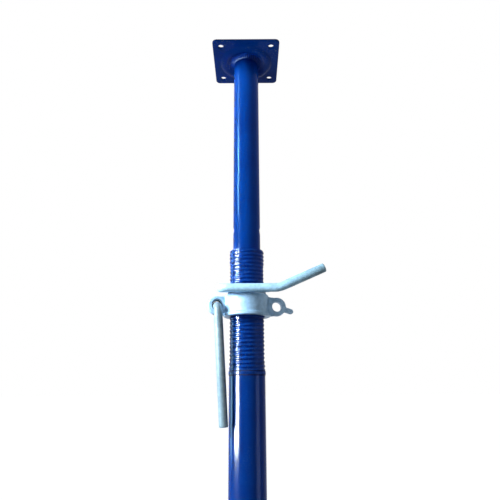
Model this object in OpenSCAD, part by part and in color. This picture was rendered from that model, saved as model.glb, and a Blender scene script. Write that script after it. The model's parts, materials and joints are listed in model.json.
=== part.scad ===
// Adjustable steel prop. Millimetres, +Z up.
// The origin is the middle of the base plate's underside.
// The tubes share the Z axis, and the support pin crosses them along X.

/* [Head and base plates] */
// Side of the square plates
plate_side = 128; // [120:1:160]
// Thickness of the plates
plate_t = 5; // [4:0.5:7]
// Radius of the plates' corners
plate_corner_r = 8; // [3:1:14]
// Distance between neighbouring bolt holes
bolt_spacing = 96; // [92:1:104]
// Diameter of the bolt holes
bolt_d = 11; // [9:0.5:14]
// Radius of the pressed ring's crest
ring_r = 42; // [40:0.5:44]
// Height of the pressed ring above the plate
ring_h = 4.2; // [2:0.1:5]
// Width of the pressed ring where it leaves the plate
ring_w = 18; // [14:0.5:20]
// Leg of the welds at the two plates
plate_weld = 7; // [4:0.5:9]

/* [Tubes] */
// Outer diameter of the outer tube
outer_d = 60.3; // [58:0.1:63]
// Wall of the outer tube
outer_wall = 3.2; // [2.4:0.1:4]
// Height of the threaded sleeve's rim above the floor
rim_height = 891.5; // [760:0.5:1800]
// Outer diameter of the inner tube
inner_d = 48.3; // [44:0.1:50]
// Wall of the inner tube
inner_wall = 3.2; // [2.4:0.1:4]
// Length of the inner tube
inner_len = 1040; // [950:5:1900]

/* [Pin holes] */
// Diameter of the holes across the inner tube
hole_d = 16; // [15.6:0.1:17]
// Depth of the first hole below the head plate
first_hole = 357; // [300:1:420]
// Distance between the holes
hole_pitch = 105; // [90:1:120]
// Number of holes
hole_count = 5; // [3:1:6]
// The hole that holds the pin, counted from the head
hole_in_use = 2; // [1:1:3]

/* [Threaded sleeve] */
// Length of the sleeve
sleeve_len = 209; // [190:0.5:260]
// Bore of the sleeve
sleeve_bore_d = 52.8; // [51:0.1:54]
// Pitch of the thread
thread_pitch = 6.7; // [5:0.1:8]
// Depth of the thread
thread_depth = 1.35; // [1.2:0.05:1.8]
// Gap between the sleeve's thread and the nut's
thread_slack = 0.6; // [0.5:0.05:0.8]
// Width of the slots for the pin
slot_w = 16.4; // [15.6:0.1:18]
// Depth of the slots' upper ends below the rim
slot_drop = 22; // [15:0.5:30]
// Height of the slots' lower ends above the sleeve's lower end
slot_foot = 13.5; // [12:0.5:30]
// Height of the weld bead between sleeve and tube
bead_h = 8.4; // [6:0.1:12]
// How far the weld bead stands out
bead_out = 0.9; // [0.5:0.1:1.2]

/* [Prop nut] */
// Depth of the nut's underside below the rim
nut_drop = 116.5; // [90:0.5:160]
// Height of the nut's barrel
nut_h = 37.5; // [34:0.5:44]
// Diameter of the barrel
nut_d = 75; // [72:0.5:80]
// Height of the flange round the foot of the nut
flange_h = 6.6; // [4:0.2:9]
// Diameter of the flange
flange_d = 80; // [78:0.5:86]
// Height of the collar that carries the pin
collar_h = 5.7; // [3:0.1:8]
// Diameter of the collar
collar_d = 66; // [64:0.5:68]
// Turn of the nut about the tube
nut_turn = 9; // [0:1:40]
// Distance of the eyes from the tube's axis
ear_reach = 51.8; // [49:0.1:56]
// Outer diameter of the ears
ear_d = 32; // [28:0.2:33]
// Diameter of the eyes
eye_d = 17; // [15.5:0.1:18]
// Thickness of the ears
ear_t = 13; // [10:0.5:16]
// Gap between the ears' tops and the pin's outer leg
ear_gap = 0.5; // [0.3:0.1:2]
// Reach of the lug beyond the right-hand eye's centre
lug_reach = 30.5; // [26:0.5:36]
// Width of the lug
lug_w = 9; // [5:0.5:10]
// Slope of the lug
lug_slope = -17; // [-40:1:0]

/* [Nut handle] */
// Diameter of the handle's bar
bar_d = 14; // [12:0.5:15]
// Reach of the handle from its pivot
handle_len = 192; // [150:1:230]
// Lean of the handle towards the tube
handle_lean = 3.5; // [0:0.1:4]
// Radius of the handle's bend, at the bar's middle
handle_bend_r = 10.5; // [9.5:0.5:14]

/* [Support pin] */
// Diameter of the pin
pin_d = 14.5; // [12:0.5:15]
// Distance between the pin's two legs
pin_gap = 46; // [45:0.5:54]
// Radius of the pin's two square bends, at the bar's middle
pin_bend_r = 13; // [10:0.5:16]
// Reach of the pin's inner leg past the tube's axis
pin_tip = 40; // [36:1:50]
// Droop of the pin's outer leg
pin_droop = 10.5; // [0:0.5:11]
// Where the outer leg starts to rise
grip_start = 46.5; // [24:0.5:55]
// Rise of the grip
grip_slope = 23.5; // [10:0.5:35]
// Radius of the bend below the grip
grip_bend_r = 35; // [25:1:60]
// Length of the straight grip
grip_len = 73; // [60:1:120]

/* [Hidden] */
$fn = 64;
// Gap between two bodies that rest on each other
rest_gap = 0.3;
// What a cutter reaches past the surface that it opens
over = 1;
// Flat sides in one turn of the thread
turn_sides = 24;
// Shares of the pitch that the thread's root and crest take
root_share = 0.26;
crest_share = 0.24;
// Turns over which the thread grows to its full depth
fade_turns = 0.8;

paint = [0.02, 0.09, 0.62];
zinc = [0.72, 0.77, 0.80];

outer_r = outer_d / 2;
inner_r = inner_d / 2;
bar_r = bar_d / 2;
pin_r = pin_d / 2;

// Radius of the arc that the pressed ring's section follows
ring_arc_r = (ring_w * ring_w / 4 + ring_h * ring_h) / (2 * ring_h);

sleeve_low = rim_height - sleeve_len;
slot_low = sleeve_low + slot_foot;
slot_high = rim_height - slot_drop;

nut_low = rim_height - nut_drop;
shoulder_z = nut_low + nut_h;
collar_z = shoulder_z + collar_h;
pin_z = collar_z + rest_gap + pin_r;
outer_leg_low = pin_z - pin_gap * sin(pin_droop) - pin_r;
ear_z = outer_leg_low - ear_gap - ear_d / 2;

// The inner tube hangs on the pin by the top of one hole
hole_z = pin_z + pin_r + rest_gap - hole_d / 2;
head_z = hole_z + first_hole + (hole_in_use - 1) * hole_pitch;

// The handle's bar lies on the lower side of its eye
eye_play = eye_d / 2 - bar_r - 0.1;
pivot_z = ear_z - eye_play;

// ---------------------------------------------------------------- shared forms

// A ring of revolution between two radii
module tube(outside_r, bore_r, low, high) {
    translate([0, 0, low])
        difference() {
            cylinder(r = outside_r, h = high - low);
            translate([0, 0, -over])
                cylinder(r = bore_r, h = high - low + 2 * over);
        }
}

// A straight bar along +X from the origin
module bar(r, length) {
    rotate([0, 90, 0])
        cylinder(r = r, h = length);
}

// A bar bent from +X towards +Y, which starts at the origin
module bend(r, bend_r, angle) {
    translate([0, bend_r, 0])
        rotate([0, 0, -90])
            rotate_extrude(angle = angle)
                translate([bend_r, 0])
                    circle(r = r);
}

// A bar's end with its edge rounded off, along +X from the origin
module bar_end(r, edge) {
    rotate([0, 90, 0])
        rotate_extrude() {
            square([r - edge, edge]);
            intersection() {
                translate([r - edge, 0])
                    circle(r = edge);
                square([r, edge]);
            }
        }
}

module rounded_square(side, r) {
    flat = side - 2 * r;
    square([side, flat], center = true);
    square([flat, side], center = true);
    for (x = [-1, 1], y = [-1, 1])
        translate([x * flat / 2, y * flat / 2])
            circle(r = r);
}

// A plate with a pressed ring. It lies on its outer face, with the tube's side up.
module pressed_plate() {
    arc_z = plate_t + ring_h - ring_arc_r;
    difference() {
        union() {
            linear_extrude(plate_t)
                rounded_square(plate_side, plate_corner_r);
            rotate_extrude()
                intersection() {
                    translate([ring_r, arc_z])
                        circle(r = ring_arc_r);
                    translate([ring_r - ring_w, plate_t / 2])
                        square([2 * ring_w, plate_t / 2 + ring_h + over]);
                }
        }
        rotate_extrude()
            intersection() {
                translate([ring_r, arc_z])
                    circle(r = ring_arc_r - plate_t);
                translate([ring_r - ring_w, -over])
                    square([2 * ring_w, plate_t + ring_h]);
            }
        for (x = [-1, 1], y = [-1, 1])
            translate([x * bolt_spacing / 2, y * bolt_spacing / 2, -over])
                cylinder(d = bolt_d, h = plate_t + 2 * over);
    }
}

// A fillet weld round a tube that stands on a plate at z = 0, up to the plate's ring
module tube_weld(tube_r) {
    leg = plate_weld;
    rotate_extrude()
        difference() {
            translate([tube_r, 0])
                square([leg, leg * 1.15]);
            translate([tube_r + leg * 1.25, leg * 1.4])
                circle(r = leg * 1.25);
            translate([ring_r, ring_h - ring_arc_r])
                circle(r = ring_arc_r);
        }
}

// A rod with one helical ridge. The height alone sets where its turns lie,
// so the sleeve's ridge and the nut's groove follow one helix.
module screw_rod(low, high, slack) {
    root_r = outer_r - thread_depth + slack;
    step = thread_pitch / turn_sides;
    first = floor(low / step) + 1;
    last = ceil(high / step) - 1 - turn_sides;
    count = last - first;
    flank = (1 - root_share - crest_share) / 2;
    widen = slack / thread_pitch;
    // Each point of one turn's section: its share of the pitch, and of the depth
    section = [
        [widen, 0],
        [root_share - widen, 0],
        [root_share + flank - widen, 1],
        [root_share + flank + crest_share + widen, 1]
    ];
    fade = turn_sides * fade_turns;
    ring_start = 4 * (count + 1) + turn_sides;
    cap_start = ring_start + turn_sides;
    points = concat(
        [
            for (i = [0:count], s = section)
                let (grow = min(1, i / fade, (count - i) / fade))
                let (r = root_r + s[1] * grow * thread_depth)
                let (a = 360 * (first + i) / turn_sides)
                [r * cos(a), r * sin(a), (first + i) * step + s[0] * thread_pitch]
        ],
        [
            for (i = [count + 1:count + turn_sides])
                let (a = 360 * (first + i) / turn_sides)
                [root_r * cos(a), root_r * sin(a), (first + i) * step + widen * thread_pitch]
        ],
        [
            for (end = [[0, low], [count, high]], k = [0:turn_sides - 1])
                let (a = 360 * (first + end[0] + k) / turn_sides)
                [root_r * cos(a), root_r * sin(a), end[1]]
        ]
    );
    // The number of the point at station i and place s of the section
    function at(i, s) =
        s == 4 ? at(i + turn_sides, 0) : i <= count ? 4 * i + s : 4 * (count + 1) + i - count - 1;
    function low_ring(k) = ring_start + k % turn_sides;
    function high_ring(k) = cap_start + k % turn_sides;
    faces = concat(
        [
            for (i = [0:count - 1], s = [0:3])
                each [
                    [at(i, s), at(i, s + 1), at(i + 1, s + 1)],
                    [at(i, s), at(i + 1, s + 1), at(i + 1, s)]
                ]
        ],
        [
            for (k = [0:turn_sides - 2])
                each [
                    [low_ring(k), at(k, 0), at(k + 1, 0)],
                    [low_ring(k), at(k + 1, 0), low_ring(k + 1)],
                    [at(count + k + 1, 0), at(count + k, 0), high_ring(k)],
                    [at(count + k + 1, 0), high_ring(k), high_ring(k + 1)]
                ]
        ],
        [
            concat(
                [low_ring(turn_sides - 1), at(turn_sides - 1, 0), at(turn_sides, 0)],
                [for (s = [3:-1:0]) at(0, s)],
                [low_ring(0)]
            ),
            concat(
                [high_ring(turn_sides - 1), high_ring(0)],
                [for (s = [0:3]) at(count, s)],
                [at(count + turn_sides, 0), at(count + turn_sides - 1, 0)]
            ),
            [for (k = [0:turn_sides - 1]) low_ring(k)],
            [for (k = [turn_sides - 1:-1:0]) high_ring(k)]
        ]
    );
    polyhedron(points = points, faces = faces, convexity = 10);
}

// ---------------------------------------------------------------- outer body

module outer_tube() {
    color(paint)
        tube(outer_r, outer_r - outer_wall, plate_t, sleeve_low);
}

module threaded_sleeve() {
    plain = bead_h / 2 + 0.8;
    thread_low = sleeve_low + max(over / 2, plain - fade_turns * thread_pitch);
    color(paint)
        difference() {
            union() {
                screw_rod(thread_low, rim_height, 0);
                translate([0, 0, sleeve_low])
                    cylinder(r = outer_r, h = plain);
            }
            translate([0, 0, sleeve_low - over])
                cylinder(d = sleeve_bore_d, h = sleeve_len + 2 * over);
            slots();
        }
}

// The two slots that the pin travels in, as one cutter
module slots() {
    reach = outer_r + over;
    translate([-reach, -slot_w / 2, slot_low + slot_w / 2])
        cube([2 * reach, slot_w, slot_high - slot_low - slot_w]);
    for (z = [slot_low + slot_w / 2, slot_high - slot_w / 2])
        translate([-reach, 0, z])
            bar(slot_w / 2, 2 * reach);
}

module sleeve_weld() {
    arc_r = (bead_h * bead_h / 4 + bead_out * bead_out) / (2 * bead_out);
    color(paint)
        translate([0, 0, sleeve_low])
            rotate_extrude()
                intersection() {
                    translate([outer_r + bead_out - arc_r, 0])
                        circle(r = arc_r, $fn = 240);
                    translate([outer_r, -bead_h / 2])
                        square([bead_out + over, bead_h]);
                }
}

module base_plate() {
    color(paint)
        pressed_plate();
}

module base_plate_weld() {
    color(paint)
        translate([0, 0, plate_t])
            tube_weld(outer_r);
}

// ---------------------------------------------------------------- inner body

module inner_tube() {
    color(paint)
        difference() {
            tube(inner_r, inner_r - inner_wall, head_z - inner_len, head_z);
            for (i = [0:hole_count - 1])
                translate([-inner_r - over, 0, head_z - first_hole - i * hole_pitch])
                    bar(hole_d / 2, inner_d + 2 * over);
        }
}

module head_plate() {
    color(paint)
        translate([0, 0, head_z + plate_t])
            mirror([0, 0, 1])
                pressed_plate();
}

module head_plate_weld() {
    color(paint)
        translate([0, 0, head_z])
            mirror([0, 0, 1])
                tube_weld(inner_r);
}

// ---------------------------------------------------------------- nut

// An eye with rounded edges, its axis along Y and its middle at the origin
module ear_ring() {
    edge = 2;
    ring = (ear_d - eye_d) / 2;
    rotate([90, 0, 0])
        rotate_extrude()
            translate([eye_d / 2, -ear_t / 2]) {
                translate([0, edge])
                    square([ring, ear_t - 2 * edge]);
                square([ring - edge, ear_t]);
                for (z = [edge, ear_t - edge])
                    translate([ring - edge, z])
                        circle(r = edge);
            }
}

// One ear on the +X side: its ring, and the gusset that joins it to the barrel and the flange
module ear() {
    web_t = ear_t - 3;
    root_x = nut_d / 2 - 5;
    low = ear_z - ear_d / 2 + 0.8;
    high = ear_z + ear_d / 2 - 0.8;
    translate([ear_reach, 0, ear_z])
        ear_ring();
    difference() {
        translate([0, web_t / 2, 0])
            rotate([90, 0, 0])
                linear_extrude(web_t)
                    polygon([[root_x, nut_low + 1], [ear_reach, low], [ear_reach, high], [root_x, high + 2]]);
        translate([ear_reach, ear_t, ear_z])
            rotate([90, 0, 0])
                cylinder(r = (eye_d + ear_d) / 4, h = 2 * ear_t);
    }
}

module lug() {
    lug_t = 7;
    start = ear_d / 2 - 2;
    translate([ear_reach, 0, ear_z])
        rotate([0, -lug_slope, 0])
            difference() {
                union() {
                    translate([start, -lug_t / 2, -lug_w / 2])
                        cube([lug_reach - lug_w / 2 - start, lug_t, lug_w]);
                    translate([lug_reach - lug_w / 2, lug_t / 2, 0])
                        rotate([90, 0, 0])
                            cylinder(d = lug_w, h = lug_t);
                }
                translate([lug_reach - lug_w / 2, -lug_t / 2, 0])
                    sphere(d = lug_w / 2);
            }
}

module nut_blank() {
    groove = 0.8;
    round_r = 1.6;
    translate([0, 0, nut_low])
        rotate_extrude()
            polygon([
                [collar_d / 4, 0],
                [flange_d / 2 - 1, 0],
                [flange_d / 2, 1],
                [flange_d / 2, flange_h - 1.4],
                [nut_d / 2 - groove, flange_h],
                [nut_d / 2, flange_h + groove],
                [nut_d / 2, nut_h - round_r],
                [nut_d / 2 - round_r, nut_h],
                [collar_d / 2 + 0.8, nut_h],
                [collar_d / 2, nut_h + 0.8],
                [collar_d / 2, nut_h + collar_h - 0.8],
                [collar_d / 2 - 0.8, nut_h + collar_h],
                [collar_d / 4, nut_h + collar_h]
            ]);
}

module prop_nut() {
    color(zinc)
        difference() {
            union() {
                nut_blank();
                rotate([0, 0, nut_turn]) {
                    ear();
                    lug();
                    rotate([0, 0, 180])
                        ear();
                }
            }
            screw_rod(nut_low - 2 * thread_pitch, collar_z + 2 * thread_pitch, thread_slack);
        }
}

// ---------------------------------------------------------------- handle

module nut_handle() {
    front = ear_t / 2 + rest_gap;
    head_h = 5;
    color(zinc)
        rotate([0, 0, nut_turn])
            translate([-ear_reach, 0, pivot_z])
                rotate([0, -handle_lean, 0]) {
                    // Through the eye, from the upset head at the back
                    translate([0, front, 0])
                        rotate([0, 0, -90])
                            bar(bar_r, 2 * front);
                    translate([0, front, 0])
                        rotate([-90, 0, 0])
                            cylinder(r1 = bar_r + 3, r2 = bar_r + 1, h = head_h);
                    // The bend and the leg hang in front of the ear
                    translate([0, -front, 0])
                        rotate([-90, 0, -90])
                            handle_leg();
                }
}

// The bend and the straight leg, which start at the origin along +X and turn towards +Y
module handle_leg() {
    edge = 1;
    leg = handle_len - handle_bend_r - edge;
    bend(bar_r, handle_bend_r, 90);
    translate([handle_bend_r, handle_bend_r, 0])
        rotate([0, 0, 90]) {
            bar(bar_r, leg);
            translate([leg, 0, 0])
                bar_end(bar_r, edge);
        }
}

// ---------------------------------------------------------------- pin

module support_pin() {
    edge = 1.5;
    bend_x = outer_r + 0.8;
    side = pin_gap - 2 * pin_bend_r;
    color(zinc)
        translate([0, 0, pin_z])
            rotate([pin_droop, 0, 0]) {
                // Inner leg, which crosses the tubes
                translate([-bend_x, 0, 0])
                    bar(pin_r, bend_x + pin_tip - edge);
                translate([pin_tip - edge, 0, 0])
                    bar_end(pin_r, edge);
                // Two square bends and the side between them
                translate([-bend_x, 0, 0])
                    mirror([1, 0, 0])
                        mirror([0, 1, 0])
                            bend(pin_r, pin_bend_r, 90);
                translate([-bend_x - pin_bend_r, -pin_bend_r, 0])
                    rotate([0, 0, -90])
                        bar(pin_r, side);
                translate([-bend_x, -pin_gap, 0])
                    mirror([1, 0, 0])
                        bend(pin_r, pin_bend_r, 90);
                // Outer leg and the grip
                translate([-bend_x, -pin_gap, 0])
                    bar(pin_r, bend_x + grip_start);
                translate([grip_start, -pin_gap, 0])
                    rotate([90, 0, 0]) {
                        bend(pin_r, grip_bend_r, grip_slope);
                        translate([grip_bend_r * sin(grip_slope), grip_bend_r * (1 - cos(grip_slope)), 0])
                            rotate([0, 0, grip_slope]) {
                                // A ball a hair wider than the bar welds the straight grip to its bend
                                sphere(r = pin_r + 0.02);
                                bar(pin_r, grip_len);
                                translate([grip_len, 0, 0])
                                    bar_end(pin_r, edge);
                            }
                    }
            }
}

outer_tube();
threaded_sleeve();
sleeve_weld();
base_plate();
base_plate_weld();
inner_tube();
head_plate();
head_plate_weld();
prop_nut();
nut_handle();
support_pin();
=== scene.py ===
import json
import math

import bmesh
import bpy
from bpy.props import FloatProperty, FloatVectorProperty, IntProperty, PointerProperty
from mathutils import Matrix, Vector, noise

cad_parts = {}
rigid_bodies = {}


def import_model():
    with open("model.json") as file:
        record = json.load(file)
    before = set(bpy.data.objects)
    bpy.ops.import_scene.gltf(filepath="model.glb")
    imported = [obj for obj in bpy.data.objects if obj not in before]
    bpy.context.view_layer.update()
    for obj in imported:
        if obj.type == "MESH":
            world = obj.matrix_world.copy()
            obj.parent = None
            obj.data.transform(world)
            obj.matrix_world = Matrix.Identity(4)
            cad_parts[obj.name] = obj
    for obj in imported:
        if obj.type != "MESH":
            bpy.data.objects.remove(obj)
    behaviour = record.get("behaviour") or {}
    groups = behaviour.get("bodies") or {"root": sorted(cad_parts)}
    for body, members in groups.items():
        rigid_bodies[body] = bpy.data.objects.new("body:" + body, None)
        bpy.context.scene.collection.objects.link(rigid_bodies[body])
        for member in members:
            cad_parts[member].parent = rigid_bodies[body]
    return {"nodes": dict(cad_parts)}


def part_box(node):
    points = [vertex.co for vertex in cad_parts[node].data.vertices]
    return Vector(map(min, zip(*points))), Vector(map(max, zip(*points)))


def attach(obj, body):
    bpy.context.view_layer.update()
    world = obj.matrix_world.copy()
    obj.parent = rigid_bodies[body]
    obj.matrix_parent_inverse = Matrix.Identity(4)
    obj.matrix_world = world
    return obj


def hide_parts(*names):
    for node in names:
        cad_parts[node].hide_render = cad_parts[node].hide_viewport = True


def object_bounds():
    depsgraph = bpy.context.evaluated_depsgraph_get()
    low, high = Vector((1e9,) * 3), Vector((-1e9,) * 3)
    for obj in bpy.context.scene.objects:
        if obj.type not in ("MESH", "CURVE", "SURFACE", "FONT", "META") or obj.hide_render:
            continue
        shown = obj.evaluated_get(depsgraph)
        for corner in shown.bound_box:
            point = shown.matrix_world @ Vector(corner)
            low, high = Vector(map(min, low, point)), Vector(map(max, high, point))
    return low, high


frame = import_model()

bl_info = {
    "name": "Adjustable steel prop",
    "version": (1, 0, 0),
    "blender": (4, 5, 0),
    "location": "View3D > Sidebar > Steel prop",
    "description": "Thread, casting skin, welds, paint and zinc of an adjustable steel prop, and its studio",
    "category": "Object",
}

TURN = 2 * math.pi
CAD_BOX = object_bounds()
NUT_TURN = math.radians(9)  # the ears' turn about the tubes' axis, away from +X
EYE_REACH = 0.0518  # from the tubes' axis to the middle of an ear's eye
SAME_SPOT = 2e-6  # corners nearer than this are one corner


# ---------------------------------------------------------------- sizes and colours

class PropSizes(bpy.types.PropertyGroup):
    """Sizes of the forms that are shaped here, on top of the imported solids."""
    thread_pitch: FloatProperty(name="Thread pitch", description="Rise of the thread in one turn",
                                default=0.0067, unit="LENGTH", precision=5)
    thread_depth: FloatProperty(name="Thread depth", description="Crest to root of the rolled thread",
                                default=0.0010, unit="LENGTH", precision=5)
    thread_steps: IntProperty(name="Steps in a turn", description="Facets round the sleeve",
                              default=80, min=24, max=128)
    plain_band: FloatProperty(name="Plain band", description="Unthreaded band at the foot of the sleeve",
                              default=0.005, unit="LENGTH", precision=4)
    sleeve_bore: FloatProperty(name="Sleeve bore", description="Radius inside the sleeve",
                               default=0.0264, unit="LENGTH", precision=4)
    slot_width: FloatProperty(name="Slot width", description="Width of the two slots for the pin",
                              default=0.0164, unit="LENGTH", precision=4)
    slot_foot: FloatProperty(name="Slot foot", description="Slot's lower end above the sleeve's foot",
                             default=0.0135, unit="LENGTH", precision=4)
    slot_drop: FloatProperty(name="Slot drop", description="Slot's upper end below the rim",
                             default=0.022, unit="LENGTH", precision=4)
    skin_cell: FloatProperty(name="Casting cell", description="Mesh size of the cast and dipped skins",
                             default=0.00075, unit="LENGTH", precision=5)
    zinc_coat: FloatProperty(name="Zinc coat", description="What the zinc adds where it lies thick",
                             default=0.0004, unit="LENGTH", precision=5)
    bolt_half: FloatProperty(name="Half bolt spacing", description="Bolt holes from the plate's middle lines",
                             default=0.048, unit="LENGTH", precision=4)
    hole_coat: FloatProperty(name="Hole coat", description="Paint that gathers on the wall of a bolt hole",
                             default=0.00035, unit="LENGTH", precision=5)
    weld_ripple: FloatProperty(name="Weld ripple", description="Height of the ripples on a weld",
                               default=0.0005, unit="LENGTH", precision=5)


class PropColours(bpy.types.PropertyGroup):
    """Colours of the paint and of the zinc."""
    paint: FloatVectorProperty(name="Paint", description="Gloss paint", subtype="COLOR", size=4,
                               default=(0.0005, 0.062, 0.38, 1), min=0, max=1)
    thin_paint: FloatVectorProperty(name="Thin paint", description="Paint where the coat lies thin",
                                    subtype="COLOR", size=4, default=(0.002, 0.032, 0.25, 1), min=0, max=1)
    dust: FloatVectorProperty(name="Dust", description="Dry dust in the low places", subtype="COLOR",
                              size=4, default=(0.16, 0.25, 0.31, 1), min=0, max=1)
    zinc: FloatVectorProperty(name="Zinc", description="Bright zinc crystals", subtype="COLOR", size=4,
                              default=(0.52, 0.70, 0.83, 1), min=0, max=1)
    dull_zinc: FloatVectorProperty(name="Dull zinc", description="Grey zinc crystals", subtype="COLOR",
                                   size=4, default=(0.36, 0.50, 0.61, 1), min=0, max=1)
    # Painted shade: darkens the hollows of the zinc pieces, the inside of the handle's eye and the nut's
    # upper band under the pin's leg
    painted_shade: FloatVectorProperty(name="Painted shade", description="Dirt in the corners of the casting",
                               subtype="COLOR", size=4, default=(0.06, 0.09, 0.12, 1), min=0, max=1)
    rubbed_paint: FloatVectorProperty(name="Rubbed paint", description="Paint worn pale on the crests",
                                      subtype="COLOR", size=4, default=(0.07, 0.17, 0.5, 1), min=0, max=1)
    # Painted shade: darkens the roots of the thread
    root_shade: FloatVectorProperty(name="Root shade", description="Dark paint in the roots of the thread",
                                    subtype="COLOR", size=4, default=(0.0005, 0.012, 0.09, 1), min=0, max=1)
    # Painted shade: the dark lines along the two toes of the low bead
    toe_shade: FloatVectorProperty(name="Toe shade", description="Dirt along the toes of the low bead",
                                  subtype="COLOR", size=4, default=(0.0004, 0.006, 0.04, 1), min=0, max=1)
    rubbed_zinc: FloatVectorProperty(name="Rubbed zinc", description="Zinc rubbed bright on the edges",
                                     subtype="COLOR", size=4, default=(0.86, 0.91, 0.93, 1), min=0, max=1)
    # Painted shade: darkens the pin's grip towards its end
    grip_shade: FloatVectorProperty(name="Grip shade", description="Zinc dulled by hands on the pin's grip",
                                   subtype="COLOR", size=4, default=(0.19, 0.28, 0.31, 1), min=0, max=1)


# ---------------------------------------------------------------- node helpers

def plug(tree, socket, value):
    """Link a socket to an output, or give it a plain value."""
    if isinstance(value, bpy.types.NodeSocket):
        tree.links.new(value, socket)
    else:
        socket.default_value = value


def add_node(tree, kind, inputs=None, **settings):
    node = tree.nodes.new(kind)
    for name, value in settings.items():
        setattr(node, name, value)
    for name, value in (inputs or {}).items():
        plug(tree, node.inputs[name], value)
    return node


def mix_colour(tree, factor, first, second):
    node = add_node(tree, "ShaderNodeMix", data_type="RGBA")
    for index, value in ((0, factor), (6, first), (7, second)):
        plug(tree, node.inputs[index], value)
    return node.outputs[2]


def remap(tree, value, low, high, to_low, to_high):
    node = add_node(tree, "ShaderNodeMapRange", {
        "Value": value, "From Min": low, "From Max": high, "To Min": to_low, "To Max": to_high,
    })
    return node.outputs["Result"]


def maths(tree, operation, first, second=0.0):
    node = add_node(tree, "ShaderNodeMath", operation=operation)
    plug(tree, node.inputs[0], first)
    plug(tree, node.inputs[1], second)
    return node.outputs[0]


def vector_maths(tree, operation, *values):
    """A vector maths node, which gives a length under Value and a vector under Vector."""
    node = add_node(tree, "ShaderNodeVectorMath", operation=operation)
    for socket, value in zip(node.inputs, values):
        plug(tree, socket, value)
    return node.outputs["Value" if operation == "LENGTH" else "Vector"]


def noise_field(tree, place, scale, detail, **inputs):
    """The noise texture's value, which lies about 0.5."""
    node = add_node(tree, "ShaderNodeTexNoise", {"Vector": place, "Scale": scale, "Detail": detail, **inputs})
    return node.outputs["Fac"]


def own_place(tree):
    """The object's own coordinates, which are the part's frame."""
    return tree.nodes.new("ShaderNodeTexCoord").outputs["Object"]


def part_of_place(tree, place, axis):
    return add_node(tree, "ShaderNodeSeparateXYZ", {"Vector": place}).outputs[axis]


def seen_directly(tree):
    """One for what the camera sees itself or through a mirror or a glass, else nought."""
    path = tree.nodes.new("ShaderNodeLightPath").outputs
    return maths(tree, "MAXIMUM", maths(tree, "MAXIMUM", path["Is Camera Ray"], path["Is Glossy Ray"]),
                 path["Is Transmission Ray"])


def show(tree, kind, shader):
    """End a tree of the material or of the world with its output."""
    output = tree.nodes.new(kind)
    tree.links.new(shader, output.inputs["Surface"])


def new_group(name, inputs, outputs):
    """A shader node group with named sockets, and its two end nodes."""
    group = bpy.data.node_groups.new(name, "ShaderNodeTree")
    for label, kind, value in inputs:
        socket = group.interface.new_socket(label, in_out="INPUT", socket_type=kind)
        if value is not None:
            socket.default_value = value
    for label, kind in outputs:
        group.interface.new_socket(label, in_out="OUTPUT", socket_type=kind)
    return group, group.nodes.new("NodeGroupInput").outputs, group.nodes.new("NodeGroupOutput").inputs


def paint_coat_group():
    """Brushed or dipped gloss paint: thick and thin places, orange peel, dust specks."""
    group, given, result = new_group("Paint coat", [
        ("Place", "NodeSocketVector", None),
        ("Paint", "NodeSocketColor", (0, 0.05, 0.4, 1)),
        ("Thin paint", "NodeSocketColor", (0, 0.03, 0.2, 1)),
        ("Dust", "NodeSocketColor", (0.2, 0.2, 0.3, 1)),
        ("Dust amount", "NodeSocketFloat", 0.1),
        ("Peel", "NodeSocketFloat", 1.0),
    ], [("Colour", "NodeSocketColor"), ("Roughness", "NodeSocketFloat"), ("Height", "NodeSocketFloat")])
    cloud = noise_field(group, given["Place"], 14.0, 4.0, Roughness=0.55)
    runs = add_node(group, "ShaderNodeMapping", {"Vector": given["Place"], "Scale": (60, 60, 6)})
    streak = noise_field(group, runs.outputs[0], 1.0, 3.0)
    thin = maths(group, "MULTIPLY", remap(group, cloud, 0.35, 0.75, 0.0, 0.8),
                 remap(group, streak, 0.3, 0.7, 0.5, 1.0))
    colour = mix_colour(group, thin, given["Paint"], given["Thin paint"])
    speck = noise_field(group, given["Place"], 420.0, 2.0)
    patch = noise_field(group, given["Place"], 22.0, 3.0)
    dusty = maths(group, "MULTIPLY", remap(group, speck, 0.55, 0.72, 0.0, 1.0),
                  remap(group, patch, 0.45, 0.7, 0.0, 1.0))
    dusty = maths(group, "MULTIPLY", dusty, given["Dust amount"])
    plug(group, result["Colour"], mix_colour(group, dusty, colour, given["Dust"]))
    rough = maths(group, "ADD", remap(group, cloud, 0.3, 0.7, 0.10, 0.16),
                  maths(group, "MULTIPLY", dusty, 0.5))
    plug(group, result["Roughness"], rough)
    peel = maths(group, "MULTIPLY", noise_field(group, given["Place"], 260.0, 1.0), given["Peel"])
    plug(group, result["Height"], maths(group, "ADD", peel, maths(group, "MULTIPLY", streak, 0.3)))
    return group


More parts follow.
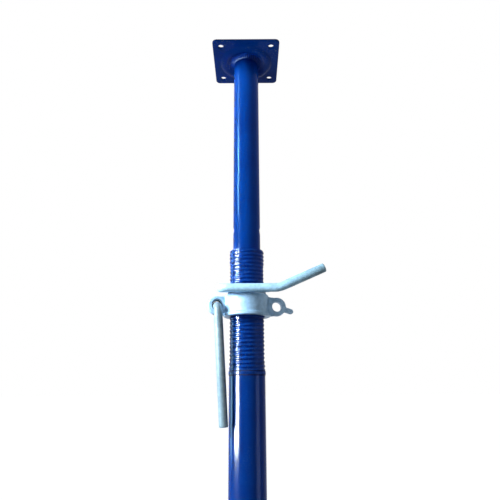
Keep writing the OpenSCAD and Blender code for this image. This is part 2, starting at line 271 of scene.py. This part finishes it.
def zinc_coat_group():
    """Hot-dip zinc: crystals of different greys, mottling and a grainy surface."""
    group, given, result = new_group("Zinc coat", [
        ("Place", "NodeSocketVector", None),
        ("Zinc", "NodeSocketColor", (0.6, 0.7, 0.75, 1)),
        ("Dull zinc", "NodeSocketColor", (0.4, 0.5, 0.55, 1)),
        ("Crystal scale", "NodeSocketFloat", 170.0),
        ("Grain", "NodeSocketFloat", 1.0),
    ], [("Colour", "NodeSocketColor"), ("Roughness", "NodeSocketFloat"), ("Height", "NodeSocketFloat")])
    # Noise bends the straight sides of the crystals
    bend = add_node(group, "ShaderNodeTexNoise", {"Vector": given["Place"], "Scale": 90.0, "Detail": 2.0})
    bent = vector_maths(group, "MULTIPLY_ADD", bend.outputs["Color"], (0.004, 0.004, 0.004), given["Place"])
    crystal = add_node(group, "ShaderNodeTexVoronoi", {
        "Vector": bent, "Scale": given["Crystal scale"], "Randomness": 1.0})
    shade = add_node(group, "ShaderNodeSeparateColor", {"Color": crystal.outputs["Color"]}).outputs
    cloud = noise_field(group, given["Place"], 38.0, 5.0, Roughness=0.6)
    fine = noise_field(group, given["Place"], 900.0, 2.0)
    mottle = noise_field(group, given["Place"], 130.0, 3.0)
    dull = maths(group, "MULTIPLY", shade[0], 0.3)
    for field, low, high, least, most in ((cloud, 0.35, 0.68, -0.25, 0.65), (mottle, 0.35, 0.68, -0.2, 0.45),
                                          (fine, 0.3, 0.7, -0.08, 0.08)):
        dull = maths(group, "ADD", dull, remap(group, field, low, high, least, most))
    clamp = add_node(group, "ShaderNodeClamp", {"Value": dull})
    plug(group, result["Colour"], mix_colour(group, clamp.outputs[0], given["Zinc"], given["Dull zinc"]))
    rough = maths(group, "ADD", remap(group, shade[1], 0.0, 1.0, 0.34, 0.5),
                  remap(group, cloud, 0.3, 0.7, 0.0, 0.08))
    plug(group, result["Roughness"], rough)
    height = maths(group, "ADD", maths(group, "MULTIPLY", fine, 0.5), maths(group, "MULTIPLY", cloud, 2.2))
    plug(group, result["Height"], maths(group, "MULTIPLY", height, given["Grain"]))
    return group


def shared_group(name, build):
    return bpy.data.node_groups.get(name) or build()


def place_group(tree, group, inputs):
    node = tree.nodes.new("ShaderNodeGroup")
    node.node_tree = group
    for name, value in inputs.items():
        plug(tree, node.inputs[name], value)
    return node.outputs


def blank_material(name):
    """A material with a surface shader, its tree and the object's own coordinates."""
    material = bpy.data.materials.new(name)
    material.use_nodes = True
    tree = material.node_tree
    tree.nodes.clear()
    surface = tree.nodes.new("ShaderNodeBsdfPrincipled")
    show(tree, "ShaderNodeOutputMaterial", surface.outputs[0])
    return material, tree, surface, own_place(tree)


def dress_surface(tree, surface, colour, coat, relief):
    """Give the surface its colour, and the coat's roughness and relief."""
    bump = add_node(tree, "ShaderNodeBump", {"Height": coat["Height"], "Distance": relief, "Strength": 1.0})
    plug(tree, surface.inputs["Base Color"], colour)
    plug(tree, surface.inputs["Roughness"], coat["Roughness"])
    plug(tree, surface.inputs["Normal"], bump.outputs[0])


def recolour(material, factor, colour):
    """Mix one more colour over what a material shows."""
    tree = material.node_tree
    base = next(node for node in tree.nodes if node.type == "BSDF_PRINCIPLED").inputs["Base Color"]
    plug(tree, base, mix_colour(tree, factor, base.links[0].from_socket, colour))


def gloss_paint(name, colours, dust, peel):
    """Blue gloss paint on steel, with the sockets that a special paint changes."""
    material, tree, surface, place = blank_material(name)
    coat = place_group(tree, shared_group("Paint coat", paint_coat_group), {
        "Place": place, "Paint": colours.paint, "Thin paint": colours.thin_paint,
        "Dust": colours.dust, "Dust amount": dust, "Peel": peel,
    })
    dress_surface(tree, surface, coat["Colour"], coat, 0.00003)
    surface.inputs["Specular IOR Level"].default_value = 0.035
    return material, tree, surface, coat


def plain_paint(name, colours, dust, peel):
    """Gloss paint with nothing more to it."""
    return gloss_paint(name, colours, dust, peel)[0]


def thread_paint(name, colours, crest, depth):
    """Gloss paint that is rubbed pale on the crests of the thread, with painted shade in its roots."""
    material, tree, surface, coat = gloss_paint(name, colours, 0.35, 1.0)
    place = own_place(tree)
    radius = vector_maths(tree, "LENGTH", vector_maths(tree, "MULTIPLY", place, (1, 1, 0)))
    worn = maths(tree, "MULTIPLY", remap(tree, radius, crest - 0.2 * depth, crest, 0.0, 1.0),
                 remap(tree, noise_field(tree, place, 160.0, 4.0), 0.5, 0.68, 0.0, 0.3))
    pale = mix_colour(tree, worn, coat["Colour"], colours.rubbed_paint)
    # Painted shade, darkest in the roots of the thread
    low = remap(tree, radius, crest - depth, crest - 0.6 * depth, 0.15, 0.0)
    plug(tree, surface.inputs["Base Color"], mix_colour(tree, low, pale, colours.root_shade))
    return material


def toe_paint(name, colours, centre, half):
    """Paint of the low bead, with painted shade as dark dull lines at its two toes."""
    material, tree, surface, coat = gloss_paint(name, colours, 0.15, 2.0)
    height = part_of_place(tree, own_place(tree), "Z")
    away = maths(tree, "ABSOLUTE", maths(tree, "SUBTRACT", height, centre))
    # Painted shade along the two toes, which are made rough there too
    dark = remap(tree, away, 0.45 * half, 0.7 * half, 0.0, 0.9)
    plug(tree, surface.inputs["Base Color"], mix_colour(tree, dark, coat["Colour"], colours.toe_shade))
    plug(tree, surface.inputs["Roughness"], maths(tree, "MAXIMUM", coat["Roughness"], dark))
    return material


def galvanised(name, colours, crystal, grain, tint):
    """Hot-dip zinc on a casting or a bar, with painted shade in the hollows and rubbed on the edges."""
    material, tree, surface, place = blank_material(name)
    coat = place_group(tree, shared_group("Zinc coat", zinc_coat_group), {
        "Place": place, "Zinc": [part * share for part, share in zip(colours.zinc, tint)] + [1],
        "Dull zinc": [part * share for part, share in zip(colours.dull_zinc, tint)] + [1],
        "Crystal scale": crystal, "Grain": grain,
    })
    point = tree.nodes.new("ShaderNodeNewGeometry").outputs["Pointiness"]
    # Painted shade in the hollows, found from the pointiness
    cavity_shade = remap(tree, point, 0.44, 0.49, 0.7, 0.0)
    colour = mix_colour(tree, cavity_shade, coat["Colour"], colours.painted_shade)
    edge = remap(tree, point, 0.52, 0.6, 0.0, 0.35)
    colour = mix_colour(tree, edge, colour, colours.rubbed_zinc)
    dress_surface(tree, surface, colour, coat, 0.00014)
    surface.inputs["Metallic"].default_value = 0.25
    surface.inputs["Specular IOR Level"].default_value = 0.3
    return material


def casting(name, colours):
    """The nut's zinc, with painted shade inside the eye that holds the handle and painted shadow of the pin's
    leg over the nut's upper band.
    """
    material = galvanised(name, colours, 210.0, 1.0, (0.93, 1.0, 1.08))
    tree = material.node_tree
    place = own_place(tree)
    eye_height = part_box("nut_handle")[1].z - 0.0062
    turned = add_node(tree, "ShaderNodeMapping", {"Vector": place, "Rotation": (0, 0, -NUT_TURN)})
    moved = vector_maths(tree, "SUBTRACT", turned.outputs[0], (-EYE_REACH, 0, eye_height))
    from_eye = vector_maths(tree, "LENGTH", vector_maths(tree, "MULTIPLY", moved, (1, 0, 1)))
    # Painted shade inside the eye
    inside = remap(tree, from_eye, 0.0086, 0.0098, 0.9, 0.0)
    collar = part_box("prop_nut")[1].z - 0.0045
    # Painted shadow of the pin's leg, from a little below the collar up to the nut's top
    under = remap(tree, part_of_place(tree, place, "Z"), collar - 0.002, collar, 0.0, 0.5)
    recolour(material, maths(tree, "MAXIMUM", inside, under), colours.painted_shade)
    return material


def pin_zinc(name, colours):
    """The pin's bright zinc, with painted shade that darkens it towards the end of the grip."""
    material = galvanised(name, colours, 230.0, 0.8, (1.08, 1.17, 1.17))
    tree = material.node_tree
    place = own_place(tree)
    # Painted shade, growing towards the grip's end with a noisy amount
    grip_shade_share = maths(tree, "MULTIPLY", remap(tree, part_of_place(tree, place, "X"), 0.045, 0.115, 0.0, 1.0),
                 remap(tree, noise_field(tree, place, 70.0, 4.0), 0.35, 0.65, 0.45, 0.95))
    recolour(material, grip_shade_share, colours.grip_shade)
    return material


def material_named(name, build, *values):
    """The material of that name, made the first time it is asked for."""
    return bpy.data.materials.get(name) or build(name, *values)


# ---------------------------------------------------------------- mesh helpers

def smooth_shading(mesh, degrees):
    mesh.polygons.foreach_set("use_smooth", [True] * len(mesh.polygons))
    mesh.set_sharp_from_angle(angle=math.radians(degrees))


def put_in_scene(name, mesh):
    piece = bpy.data.objects.new(name, mesh)
    bpy.context.scene.collection.objects.link(piece)
    return piece


def finish_piece(name, shape, body, material, sharp, node):
    """Close the bmesh into an object that rides on its body and stands for its CAD node."""
    bmesh.ops.remove_doubles(shape, verts=shape.verts, dist=SAME_SPOT)
    bmesh.ops.recalc_face_normals(shape, faces=shape.faces)
    mesh = bpy.data.meshes.new(name)
    shape.to_mesh(mesh)
    shape.free()
    smooth_shading(mesh, sharp)
    piece = put_in_scene(name, mesh)
    mesh.materials.append(material)
    dress_piece(piece, body, node)
    return piece


def dress_piece(piece, body, node):
    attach(piece, body)
    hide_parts(node)


def bake_modifiers(piece):
    """Turn a piece's modifiers into its mesh."""
    bpy.context.view_layer.update()
    graph = bpy.context.evaluated_depsgraph_get()
    mesh = bpy.data.meshes.new_from_object(piece.evaluated_get(graph))
    piece.modifiers.clear()
    piece.data = mesh


def smoothstep(value):
    value = min(1.0, max(0.0, value))
    return value * value * (3 - 2 * value)


def spin_section(shape, points, steps):
    """Turn a closed section, given as radius and height, a full turn about the tubes' axis."""
    corners = [shape.verts.new((r, 0, z)) for r, z in points]
    edges = [shape.edges.new(pair) for pair in zip(corners, corners[1:] + corners[:1])]
    bmesh.ops.spin(shape, geom=corners + edges, cent=(0, 0, 0), axis=(0, 0, 1), dvec=(0, 0, 0),
                   angle=TURN, steps=steps, use_merge=True)


def ripple(shape, move):
    """Push every vertex along its normal by what move gives for its place."""
    bmesh.ops.recalc_face_normals(shape, faces=shape.faces)
    shape.normal_update()
    steps = [(corner, corner.normal * move(corner.co)) for corner in shape.verts]
    for corner, step in steps:
        corner.co += step


# ---------------------------------------------------------------- pieces

class PROP_OT_threaded_sleeve(bpy.types.Operator):
    """Roll the thread on the sleeve and cut its two slots"""
    bl_idname = "prop.threaded_sleeve"
    bl_label = "Threaded sleeve"

    def execute(self, context):
        sizes, colours = context.scene.prop_sizes, context.scene.prop_colours
        low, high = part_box("threaded_sleeve")
        crest, bottom, top = high.x, low.z, high.z
        band = bottom + sizes.plain_band
        sharp = 50
        shape = bmesh.new()
        self.wind_thread(shape, sizes, crest, bottom, top)
        self.trim(shape, bottom, band, top)
        self.run_out(shape, crest, band, top, sizes.thread_pitch)
        self.line_bore(shape, sizes.sleeve_bore, (bottom, top))
        material = material_named("Thread paint", thread_paint, colours, crest, sizes.thread_depth)
        sleeve = finish_piece("rolled_thread_sleeve", shape, "outer_body", material,
                              sharp, "threaded_sleeve")
        cutter = self.slot_cutter(sizes, bottom, top, crest)
        cut = sleeve.modifiers.new("Slots", "BOOLEAN")
        cut.operation, cut.solver, cut.object = "DIFFERENCE", "EXACT", cutter
        bake_modifiers(sleeve)
        bpy.data.objects.remove(cutter)
        smooth_shading(sleeve.data, sharp)
        return {"FINISHED"}

    def wind_thread(self, shape, sizes, crest, bottom, top):
        """Wind one pitch of the thread, from root to crest and back, until it passes both ends."""
        pitch, depth, steps = sizes.thread_pitch, sizes.thread_depth, sizes.thread_steps
        rises = [0, 0, 0.06, 0.3, 0.7, 0.94, 1, 1, 0.94, 0.7, 0.3, 0.06, 0]
        parts = len(rises) - 1
        start = math.floor(bottom / pitch) - 1
        turns = math.ceil((top - bottom) / pitch) + 2
        section = [shape.verts.new((crest - depth + rise * depth, 0, (start + part / parts) * pitch))
                   for part, rise in enumerate(rises)]
        edges = [shape.edges.new(pair) for pair in zip(section, section[1:])]
        bmesh.ops.spin(shape, geom=section + edges, cent=(0, 0, 0), axis=(0, 0, 1),
                       dvec=(0, 0, pitch / steps), angle=TURN * turns, steps=steps * turns, use_merge=False)
        bmesh.ops.remove_doubles(shape, verts=shape.verts, dist=10 * SAME_SPOT)

    def trim(self, shape, bottom, band, top):
        """Cut the ends level, and lay rings of edges where the band ends and where the rim is round."""
        for height in (bottom, band, top - 0.0006, top - 0.0015, top):
            bmesh.ops.bisect_plane(shape, geom=shape.verts[:] + shape.edges[:] + shape.faces[:], dist=1e-6,
                                   plane_co=(0, 0, height), plane_no=(0, 0, 1),
                                   clear_outer=height == top, clear_inner=height == bottom)

    def run_out(self, shape, crest, band, top, pitch):
        """Let the thread begin above the plain band, and round the rim."""
        rounding = 0.0025
        for corner in shape.verts:
            radius = corner.co.xy.length
            begun = smoothstep((corner.co.z - band) / (0.35 * pitch))
            wanted = crest + (radius - crest) * begun
            below = (top - corner.co.z) / rounding
            if below < 1:
                wanted = min(wanted, crest - rounding * (1 - math.sqrt(max(0.0, 1 - (1 - below) ** 2))))
            corner.co.xy *= wanted / radius

    def line_bore(self, shape, bore, ends):
        """Close the two ends with flat rings, and join these by the bore."""
        near = 1e-5
        loops = []
        for height in ends:
            rim = [edge for edge in shape.edges
                   if edge.is_boundary and all(abs(corner.co.z - height) < near for corner in edge.verts)]
            grown = bmesh.ops.extrude_edge_only(shape, edges=rim)["geom"]
            for corner in (item for item in grown if isinstance(item, bmesh.types.BMVert)):
                corner.co.xy *= bore / corner.co.xy.length
            loops += [item for item in grown if isinstance(item, bmesh.types.BMEdge)
                      and all(abs(corner.co.xy.length - bore) < near for corner in item.verts)]
        bmesh.ops.bridge_loops(shape, edges=loops)

    def slot_cutter(self, sizes, bottom, top, crest):
        """A bar with round ends that cuts both slots."""
        cutter = bmesh.new()
        half, foot = sizes.slot_width / 2, bottom + sizes.slot_foot
        made = bmesh.ops.create_circle(cutter, cap_ends=True, segments=64, radius=half)
        upright = Matrix.Rotation(math.pi / 2, 3, "Y")
        bmesh.ops.rotate(cutter, verts=made["verts"], cent=(0, 0, 0), matrix=upright)
        rise = (top - sizes.slot_drop) - foot - 2 * half
        for corner in cutter.verts:
            if corner.co.z > 0:
                corner.co.z += rise
        grown = bmesh.ops.extrude_face_region(cutter, geom=cutter.faces[:])["geom"]
        bmesh.ops.translate(cutter, verts=[item for item in grown if isinstance(item, bmesh.types.BMVert)],
                            vec=(2.4 * crest, 0, 0))
        bmesh.ops.translate(cutter, verts=cutter.verts, vec=(-1.2 * crest, 0, foot + half))
        bmesh.ops.recalc_face_normals(cutter, faces=cutter.faces)
        mesh = bpy.data.meshes.new("slot_cutter")
        cutter.to_mesh(mesh)
        cutter.free()
        return put_in_scene("slot_cutter", mesh)


def soften(shape, corners):
    bmesh.ops.smooth_vert(shape, verts=corners, factor=0.5, use_axis_x=True, use_axis_y=True, use_axis_z=True)


def hollow_corners(shape, cell):
    """The vertices in a hollow, below the middle of their neighbours."""
    shape.normal_update()
    hollows = []
    for corner in shape.verts:
        middle = Vector((0, 0, 0))
        for edge in corner.link_edges:
            middle += edge.other_vert(corner).co
        middle = middle / len(corner.link_edges) - corner.co
        if middle.dot(corner.normal) > 0.015 * cell:
            hollows.append(corner)
    return hollows


def dipped_skin(node, name, body, material, cell, fillet, softening, lumps, coat=None, shift=None):
    """A cast or dipped skin over a CAD solid: corners filled, edges softened, surface a little uneven.
    The coat is what the zinc adds at a place, as a length, and the shift what moves there, as a vector."""
    shape = bmesh.new()
    shape.from_mesh(frame["nodes"][node].data)
    bmesh.ops.remove_doubles(shape, verts=shape.verts, dist=SAME_SPOT)
    mesh = bpy.data.meshes.new(name)
    shape.to_mesh(mesh)
    shape.free()
    piece = put_in_scene(name, mesh)
    remesh = piece.modifiers.new("Skin", "REMESH")
    remesh.mode, remesh.voxel_size = "VOXEL", cell
    bake_modifiers(piece)
    shape = bmesh.new()
    shape.from_mesh(piece.data)
    soften(shape, shape.verts)
    for _ in range(fillet):
        hollows = hollow_corners(shape, cell)
        for _ in range(4):
            soften(shape, hollows)
    for _ in range(softening):
        soften(shape, shape.verts)
    ripple(shape, lambda co: lumps * (noise.noise(co * 120) + 0.5 * noise.noise(co * 420) - 1)
           + (coat(co) if coat else 0))
    low, high = CAD_BOX
    for corner in shape.verts:
        if shift:
            corner.co += shift(corner.co)
        corner.co = [min(max(part, least), most) for part, least, most in zip(corner.co, low, high)]
    shape.to_mesh(piece.data)
    shape.free()
    piece.data.polygons.foreach_set("use_smooth", [True] * len(piece.data.polygons))
    piece.data.materials.clear()
    piece.data.materials.append(material)
    dress_piece(piece, body, node)


class PROP_OT_prop_nut(bpy.types.Operator):
    """Give the prop nut its cast and galvanised skin"""
    bl_idname = "prop.prop_nut"
    bl_label = "Prop nut"

    def execute(self, context):
        sizes, colours = context.scene.prop_sizes, context.scene.prop_colours
        material = material_named("Galvanised casting", casting, colours)
        dipped_skin("prop_nut", "cast_nut", "nut", material,
                    sizes.skin_cell, 6, 2, 0.00008)
        return {"FINISHED"}


class PROP_OT_bars(bpy.types.Operator):
    """Give the handle and the pin their dipped skin"""
    bl_idname = "prop.bars"
    bl_label = "Handle and pin"

    def execute(self, context):
        sizes, colours = context.scene.prop_sizes, context.scene.prop_colours
        cell = sizes.skin_cell
        # The handle's zinc is a greyer copy of the zinc, made darker as painted shade
        material = material_named("Galvanised handle", galvanised, colours, 230.0, 0.7, (0.56, 0.52, 0.47))
        # The zinc lies thick below the handle's eye
        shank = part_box("nut_handle")[1].z - 0.024
        dipped_skin("nut_handle", "dipped_handle", "handle", material, cell, 2, 2, 0.00006,
                    lambda co: sizes.zinc_coat * smoothstep((shank - co.z) / 0.01))
        material = material_named("Galvanised pin", pin_zinc, colours)
        # It lies thick on the grip at the outer leg's end too, where nothing slides
        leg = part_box("support_pin")[0].y + 0.0193
        dipped_skin("support_pin", "dipped_pin", "pin", material, cell, 1, 2, 0.00006,
                    lambda co: sizes.zinc_coat * smoothstep((leg - co.y) / 0.01)
                    * smoothstep((co.x - 0.055) / 0.02))
        return {"FINISHED"}


class PROP_OT_plates(bpy.types.Operator):
    """Give the pressed plates their soft painted edges"""
    bl_idname = "prop.plates"
    bl_label = "Head and base plates"

    def execute(self, context):
        sizes, colours = context.scene.prop_sizes, context.scene.prop_colours
        material = material_named("Plate paint", plain_paint, colours, 0.9, 1.4)
        for node, name, body in (("head_plate", "pressed_head_plate", "inner_body"),
                                 ("base_plate", "pressed_base_plate", "outer_body")):
            dipped_skin(node, name, body, material, 1.15 * sizes.skin_cell, 1, 2, 0.00003,
                        shift=lambda co: self.gather(co, sizes))
        return {"FINISHED"}

    def gather(self, co, sizes):
        """Paint that runs together in the bolt holes makes them a little smaller."""
        fade, reach = 0.0034, 0.009  # the coat thins out over the fade, up to the reach
        hole = Vector((math.copysign(sizes.bolt_half, co.x), math.copysign(sizes.bolt_half, co.y), co.z))
        out = co - hole
        if out.length > reach or out.length < 0.001:
            return Vector((0, 0, 0))
        return out.normalized() * (-sizes.hole_coat * smoothstep((reach - out.length) / fade))


class PROP_OT_welds(bpy.types.Operator):
    """Lay the rippled weld beads under the plates and round the sleeve's foot"""
    bl_idname = "prop.welds"
    bl_label = "Welds"
    steps, sharp = 288, 60

    def execute(self, context):
        sizes, colours = context.scene.prop_sizes, context.scene.prop_colours
        material = material_named("Weld paint", plain_paint, colours, 0.15, 2.0)
        self.plate_weld("head_plate_weld", "head_weld_bead", "inner_body", "inner_tube", -1, sizes, material)
        self.plate_weld("base_plate_weld", "base_weld_bead", "outer_body", "outer_tube", 1, sizes, material)
        self.sleeve_weld(sizes, colours)
        return {"FINISHED"}

    def plate_weld(self, node, name, body, tube, way, sizes, material):
        """A fillet weld from the tube's side out to the plate, with ripples along it."""
        low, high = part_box(node)
        inner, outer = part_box(tube)[1].x, high.x
        foot, tip = (low.z, high.z) if way > 0 else (high.z, low.z)
        slack, sunk = 0.0004, 0.001  # short of the CAD weld's edge, and inside the tube's wall
        leg, rise = outer - inner - slack, abs(tip - foot) - slack
        points = [(inner - sunk, foot)]
        for step in range(13):
            angle = math.pi / 2 * step / 12
            swell = 0.144 * math.sin(2 * angle)
            points.append((inner + leg * (1 - math.sin(angle) + swell),
                           foot + way * rise * (1 - math.cos(angle) + swell)))
        points.append((inner - sunk, tip - way * slack))
        shape = bmesh.new()
        spin_section(shape, points, self.steps)
        middle, length = inner + leg * 0.4, 0.0042

        def wave(co):
            if co.xy.length < inner + 0.0003 or abs(co.z - foot) < 0.0002:
                return 0.0
            arc = math.atan2(co.y, co.x) * middle
            bow = (co.xy.length - middle) ** 2 * 190
            phase = (arc + bow) / length + 0.35 * noise.noise(co * 90)
            crest = abs(math.sin(math.pi * phase))
            return sizes.weld_ripple * (crest - 1 + 0.5 * noise.noise(co * 150))

        ripple(shape, wave)
        finish_piece(name, shape, body, material, self.sharp, node)

    def sleeve_weld(self, sizes, colours):
        """The low bead between the tube and the sleeve."""
        low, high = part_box("sleeve_weld")
        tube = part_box("outer_tube")[1].x
        centre, half, stand = (low.z + high.z) / 2, (high.z - low.z) / 2, high.x - tube
        sunk = tube - 0.0006
        points = [(sunk, centre - 0.98 * half)]
        for step in range(13):
            share = -1 + 2 * step / 12
            points.append((tube + stand * (1 - share * share) - 0.00002, centre + 0.97 * half * share))
        points.append((sunk, centre + 0.98 * half))
        shape = bmesh.new()
        spin_section(shape, points, self.steps)

        def wave(co):
            if co.xy.length < tube + 0.0001:
                return 0.0
            arc = math.atan2(co.y, co.x) * tube
            bow = (co.z - centre) ** 2 * 160
            crest = abs(math.sin(math.pi * ((arc + bow) / 0.0052 + 0.3 * noise.noise(co * 80))))
            return 0.5 * sizes.weld_ripple * (crest - 1 + 0.5 * noise.noise(co * 120))

        ripple(shape, wave)
        material = material_named("Low bead paint", toe_paint, colours, centre, half)
        finish_piece("sleeve_weld_bead", shape, "outer_body", material, self.sharp,
                     "sleeve_weld")


class PROP_OT_tubes(bpy.types.Operator):
    """Paint the two tubes"""
    bl_idname = "prop.tubes"
    bl_label = "Tubes"

    def execute(self, context):
        colours = context.scene.prop_colours
        material = material_named("Tube paint", plain_paint, colours, 0.12, 0.3)
        for node in ("outer_tube", "inner_tube"):
            mesh = frame["nodes"][node].data
            mesh.materials.clear()
            mesh.materials.append(material)
        return {"FINISHED"}


# ---------------------------------------------------------------- studio

def softbox(name, place, aim, width, height, power, tint=(1, 1, 1), only=None, part="both"):
    """A rectangular lamp, turned to its aim, that lights all or only some pieces, on their matt part,
    on their gloss or on both."""
    lamp = bpy.data.lights.new(name, "AREA")
    lamp.shape, lamp.size, lamp.size_y, lamp.energy, lamp.color = "RECTANGLE", width, height, power, tint
    holder = bpy.data.objects.new(name, lamp)
    bpy.context.scene.collection.objects.link(holder)
    holder.location = place
    holder.rotation_euler = (Vector(aim) - Vector(place)).to_track_quat("-Z", "Y").to_euler()
    holder.visible_diffuse, holder.visible_glossy = part != "gloss", part != "matt"
    if only:
        holder.light_linking.receiver_collection = only


def pieces_with(*words):
    """A collection of the pieces whose material has one of those words in its name."""
    group = bpy.data.collections.new("lit_" + words[0].lower())
    for piece in bpy.data.objects:
        slots = piece.material_slots
        if piece.type == "MESH" and slots and slots[0].material:
            if any(word in slots[0].material.name for word in words):
                group.objects.link(piece)
    return group


class PROP_OT_studio(bpy.types.Operator):
    """Set the pale floor, the world, the lamps and the camera"""
    bl_idname = "prop.studio"
    bl_label = "Studio"

    def execute(self, context):
        self.floor()
        self.world(context.scene)
        self.lamps()
        self.camera(context.scene)
        context.scene.view_settings.view_transform = "Standard"
        return {"FINISHED"}

    def floor(self):
        shape = bmesh.new()
        bmesh.ops.create_grid(shape, x_segments=1, y_segments=1, size=40)
        mesh = bpy.data.meshes.new("studio_floor")
        shape.to_mesh(mesh)
        shape.free()
        material = bpy.data.materials.new("Pale floor")
        material.use_nodes = True
        tree = material.node_tree
        tree.nodes.clear()
        # The floor glows to white away from the foot, and stays dim enough there to keep the shadow
        lift = remap(tree, vector_maths(tree, "LENGTH", own_place(tree)), 0.3, 2.0, 0.55, 1.0)
        glow = add_node(tree, "ShaderNodeEmission", {
            "Color": (1, 1, 1, 1), "Strength": maths(tree, "MULTIPLY", lift, seen_directly(tree))})
        matt = add_node(tree, "ShaderNodeBsdfDiffuse", {"Color": (0.85, 0.85, 0.85, 1)})
        both = tree.nodes.new("ShaderNodeAddShader")
        for socket, shader in zip(both.inputs, (glow, matt)):
            tree.links.new(shader.outputs[0], socket)
        show(tree, "ShaderNodeOutputMaterial", both.outputs[0])
        mesh.materials.append(material)
        put_in_scene("studio_floor", mesh)

    def world(self, scene):
        world = bpy.data.worlds.new("Studio")
        scene.world = world
        world.use_nodes = True
        tree = world.node_tree
        tree.nodes.clear()
        # White where it is seen, and a dim blue where it lights
        colour = mix_colour(tree, seen_directly(tree), (0.03, 0.06, 0.09, 1), (1, 1, 1, 1))
        light = add_node(tree, "ShaderNodeBackground", {"Color": colour, "Strength": 1.0})
        show(tree, "ShaderNodeOutputWorld", light.outputs[0])

    def lamps(self):
        painted, zinc, welds = pieces_with("paint"), pieces_with("Galvanised"), pieces_with("Weld")
        posts, plates = pieces_with("Tube", "Thread", "Low bead"), pieces_with("Plate")
        softbox("key_high", (-1.25, -0.58, 1.85), (0, 0, 1.25), 0.5, 0.8, 46,
                (0.6, 0.95, 1.0), posts, "matt")
        softbox("key_low", (-1.45, -0.62, 0.60), (0, 0, 0.6), 0.6, 0.9, 4.5,
                (0.6, 0.6, 1.0), painted, "matt")
        softbox("fill", (0.8, -0.75, 1.80), (0, 0, 1.15), 0.7, 0.7, 4.2, (0.5, 0.9, 1.0), posts, "matt")
        softbox("zinc_key", (-1.38, -0.25, 1.10), (0, 0, 0.8), 0.4, 0.6, 10, (1.0, 0.95, 0.9), zinc)
        softbox("zinc_sky", (-1.16, -0.53, 1.15), (0, 0, 0.8), 0.45, 0.45, 43, (0.55, 0.80, 1.0), zinc)
        softbox("zinc_side", (-0.33, -0.22, 0.92), (-0.055, -0.02, 0.80), 0.15, 0.15, 1.5, only=zinc)
        # The windows and the sky that the gloss of the tubes and of the thread mirrors
        softbox("window_low", (-1.47, -0.62, 0.70), (0, 0, 0.70), 0.84, 0.62, 1750,
                (0.78, 0.95, 1.0), posts, "gloss")
        softbox("window_middle", (-1.47, -0.62, 1.15), (0, 0, 1.15), 0.66, 0.28, 290,
                (0.45, 0.87, 1.0), posts, "gloss")
        softbox("window_left", (-1.42, 0.62, 0.85), (0, 0, 0.85), 0.45, 1.0, 50,
                (0.3, 0.68, 1.0), posts, "gloss")
        softbox("window_right", (1.35, -0.55, 0.55), (0, 0, 0.55), 0.7, 0.8, 22,
                (0.5, 0.65, 1.0), posts, "gloss")
        softbox("window_high", (-1.51, -0.36, 1.80), (0, 0, 1.5), 0.32, 0.46, 92,
                (0.28, 0.82, 1.0), posts, "gloss")
        softbox("window_top", (-1.51, -0.32, 2.35), (0, 0, 1.7), 0.3, 0.5, 20,
                (0.3, 0.75, 1.0), posts, "gloss")
        # The undersides at the head
        for place in (-1.45, 0.11, 1.06), (-1.20, -0.84, 0.74), (-0.60, -1.13, 0.69):
            softbox("weld_glint", place, (0, 0, 1.28), 0.11, 0.11, 150, (0.5, 0.75, 1.0), welds, "gloss")
        softbox("weld_light", (-1.3, -0.2, 0.8), (0, 0, 1.28), 0.4, 0.4, 11, (0.4, 0.75, 1.0), welds, "matt")
        softbox("plate_light", (-0.70, -0.90, 0.35), (0, 0, 1.29), 1.0, 1.0, 5,
                (0.9, 1.0, 0.9), plates, "matt")
        softbox("back", (0.7, 1.7, 1.5), (0, 0, 0.7), 1.2, 1.6, 8, part="matt")

    def camera(self, scene):
        eye = bpy.data.cameras.new("camera")
        eye.lens, eye.sensor_width, eye.clip_start = 33.7, 36.0, 0.01
        holder = bpy.data.objects.new("camera", eye)
        scene.collection.objects.link(holder)
        upward, roll = math.radians(90 + 16.43), math.radians(-0.31)
        turn = Matrix.Rotation(upward, 4, "X") @ Matrix.Rotation(roll, 4, "Z")
        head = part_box("inner_tube")[1].z
        holder.matrix_world = Matrix.Translation((0.0058, -0.8, head - 0.6282)) @ turn
        scene.camera = holder


class PROP_PT_pieces(bpy.types.Panel):
    """The prop's pieces in the sidebar"""
    bl_idname = "PROP_PT_pieces"
    bl_label = "Steel prop"
    bl_space_type = "VIEW_3D"
    bl_region_type = "UI"
    bl_category = "Steel prop"

    def draw(self, context):
        for operator in PIECES:
            self.layout.operator(operator.bl_idname)
        for group in (context.scene.prop_sizes, context.scene.prop_colours):
            box = self.layout.box()
            for name in group.__annotations__:
                box.prop(group, name)


PIECES = (PROP_OT_tubes, PROP_OT_threaded_sleeve, PROP_OT_plates, PROP_OT_welds, PROP_OT_prop_nut,
          PROP_OT_bars, PROP_OT_studio)
CLASSES = (PropSizes, PropColours) + PIECES + (PROP_PT_pieces,)


def register():
    for cls in CLASSES:
        bpy.utils.register_class(cls)
    bpy.types.Scene.prop_sizes = PointerProperty(type=PropSizes)
    bpy.types.Scene.prop_colours = PointerProperty(type=PropColours)


def unregister():
    del bpy.types.Scene.prop_colours
    del bpy.types.Scene.prop_sizes
    for cls in reversed(CLASSES):
        bpy.utils.unregister_class(cls)


def main():
    register()
    bpy.ops.prop.tubes()
    bpy.ops.prop.threaded_sleeve()
    bpy.ops.prop.plates()
    bpy.ops.prop.welds()
    bpy.ops.prop.prop_nut()
    bpy.ops.prop.bars()
    bpy.ops.prop.studio()


if __name__ == "__main__":
    main()
